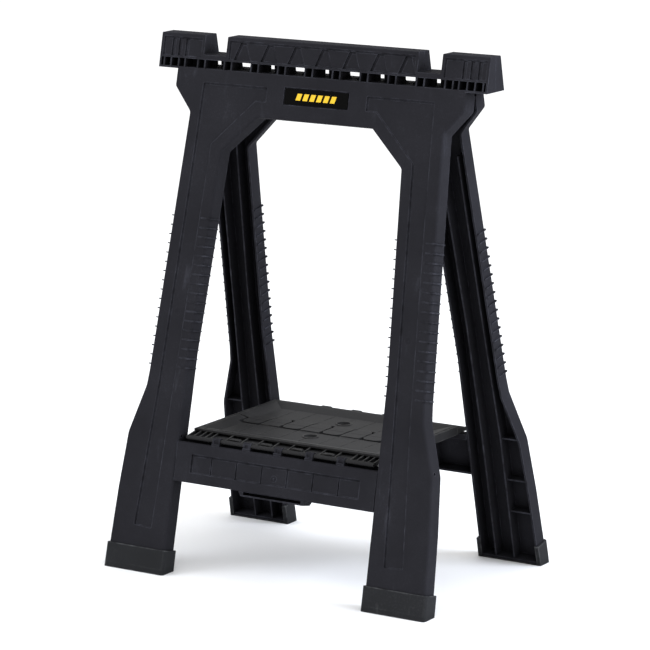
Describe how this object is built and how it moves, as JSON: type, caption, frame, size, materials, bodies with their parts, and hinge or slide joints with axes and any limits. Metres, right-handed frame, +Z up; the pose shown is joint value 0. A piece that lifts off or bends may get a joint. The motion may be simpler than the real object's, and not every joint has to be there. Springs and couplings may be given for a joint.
{
  "type": "folding sawhorse",
  "caption": "Folding moulded sawhorse with a notched work beam, two hinged leg frames, rubber feet and a folding tool shelf.",
  "frame": {"origin": "on the floor under the middle of the beam", "axes": "+X along the beam, -Y the front, +Z up"},
  "size_m": [0.573, 0.381, 0.8],
  "materials": {
    "frame_plastic": "fine grained",
    "shelf_plastic": "fine grained",
    "foot_rubber": "matt",
    "pin_steel": "drawn",
    "cap_plastic": "matt",
    "label_black": "satin",
    "label_yellow": "satin",
    "latch_plastic": "fine grained"
  },
  "bodies": {
    "front": {"front_frame": "frame_plastic", "foot_front_left": "foot_rubber", "foot_front_right": "foot_rubber", "top_hinge_pin": "pin_steel", "top_pin_caps": "cap_plastic", "front_label": "label_black", "front_label_mark": "label_yellow", "front_latch": "latch_plastic", "front_shelf_pin": "pin_steel"},
    "rear": {"rear_frame": "frame_plastic", "foot_rear_left": "foot_rubber", "foot_rear_right": "foot_rubber", "rear_label": "label_black", "rear_label_mark": "label_yellow", "rear_latch": "latch_plastic"},
    "shelf_front": {"front_shelf": "shelf_plastic", "shelf_mid_pin": "pin_steel", "mid_pin_caps": "cap_plastic"},
    "shelf_rear": {"rear_shelf": "shelf_plastic", "rear_shelf_pin": "pin_steel"}
  },
  "joints": [
    {"name": "frame_fold", "type": "hinge", "parent": "front", "child": "rear", "pos_m": [0, 0, 0.742], "axis": [-1, 0, 0], "range_deg": [0, 24]},
    {"name": "shelf_front_fold", "type": "hinge", "parent": "front", "child": "shelf_front", "pos_m": [0, -0.134, 0.206], "axis": [1, 0, 0], "range_deg": [0, 69.61]},
    {"name": "shelf_mid_fold", "type": "hinge", "parent": "shelf_front", "child": "shelf_rear", "pos_m": [0, 0, 0.206], "axis": [-1, 0, 0], "range_deg": [0, 163.18]}
  ],
  "couplings": [
    {"joint": "shelf_front_fold", "follows": "frame_fold", "ratio": 2.8985},
    {"joint": "shelf_mid_fold", "follows": "frame_fold", "ratio": 6.797}
  ]
}
